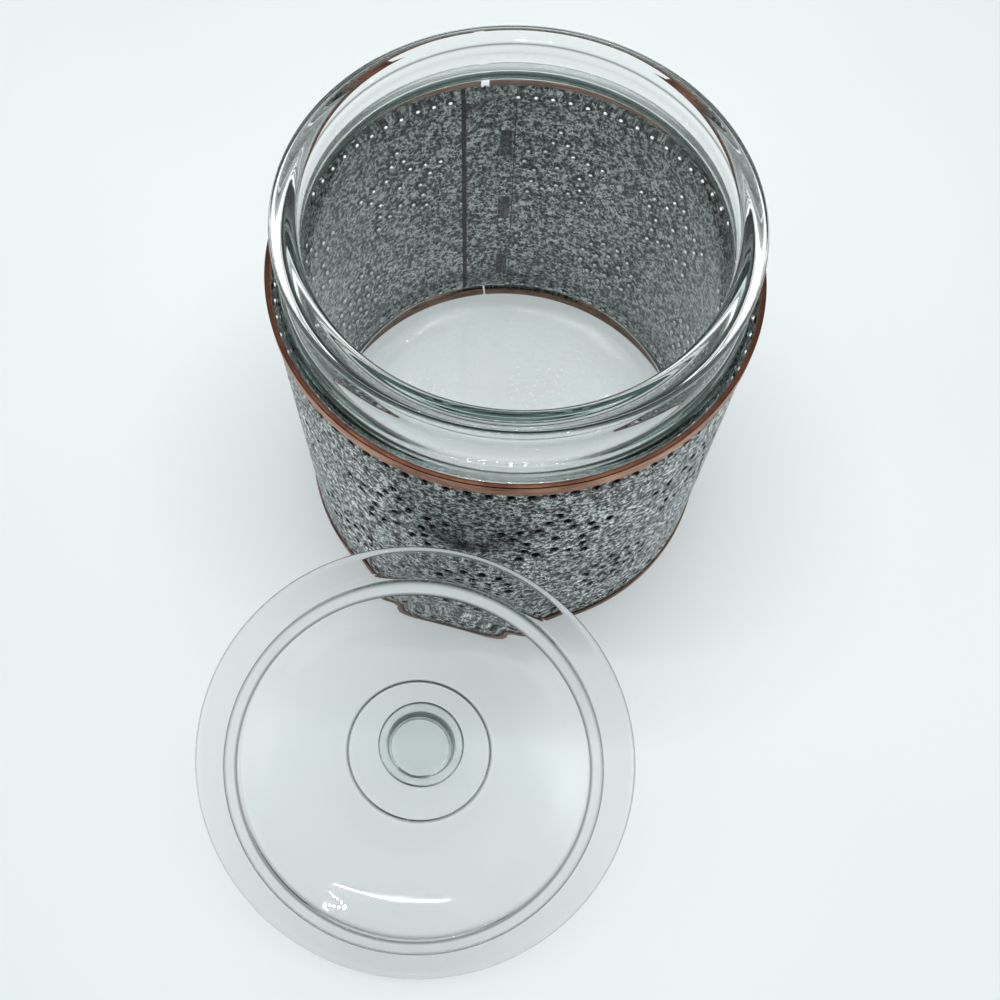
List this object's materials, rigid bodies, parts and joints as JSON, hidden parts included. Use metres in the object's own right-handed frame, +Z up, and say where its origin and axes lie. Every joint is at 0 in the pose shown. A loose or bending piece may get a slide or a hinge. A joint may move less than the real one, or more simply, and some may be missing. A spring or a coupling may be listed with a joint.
{
  "type": "cookie jar",
  "caption": "Clear glass cookie jar standing in a punched galvanised sleeve with copper-coloured rims, with a loose glass lid lying upside down in front of it.",
  "frame": {"origin": "centre of the jar's flat base, on the table", "axes": "+Z up along the jar's axis, -Y towards the front, where the lid lies, and +Y towards the sleeve's seam"},
  "size_m": [0.178, 0.2874, 0.155],
  "materials": {
    "clear_glass": "polished",
    "galvanised_sheet": "spangled zinc",
    "copper_strip": "satin copper colour"
  },
  "bodies": {
    "sleeve": {"sleeve": "galvanised_sheet", "top_rim": "copper_strip", "bottom_rim": "copper_strip"},
    "jar": {"glass_jar": "clear_glass"},
    "lid": {"lid": "clear_glass"}
  },
  "joints": [
    {"name": "jar_lift", "type": "slide", "parent": "sleeve", "child": "jar", "axis": [0, 0, 1], "range_m": [0, 0.17]},
    {"name": "lid_lift", "type": "slide", "parent": "sleeve", "child": "lid", "axis": [0, -0.1736, 0.9848], "range_m": [0, 0.2]}
  ]
}
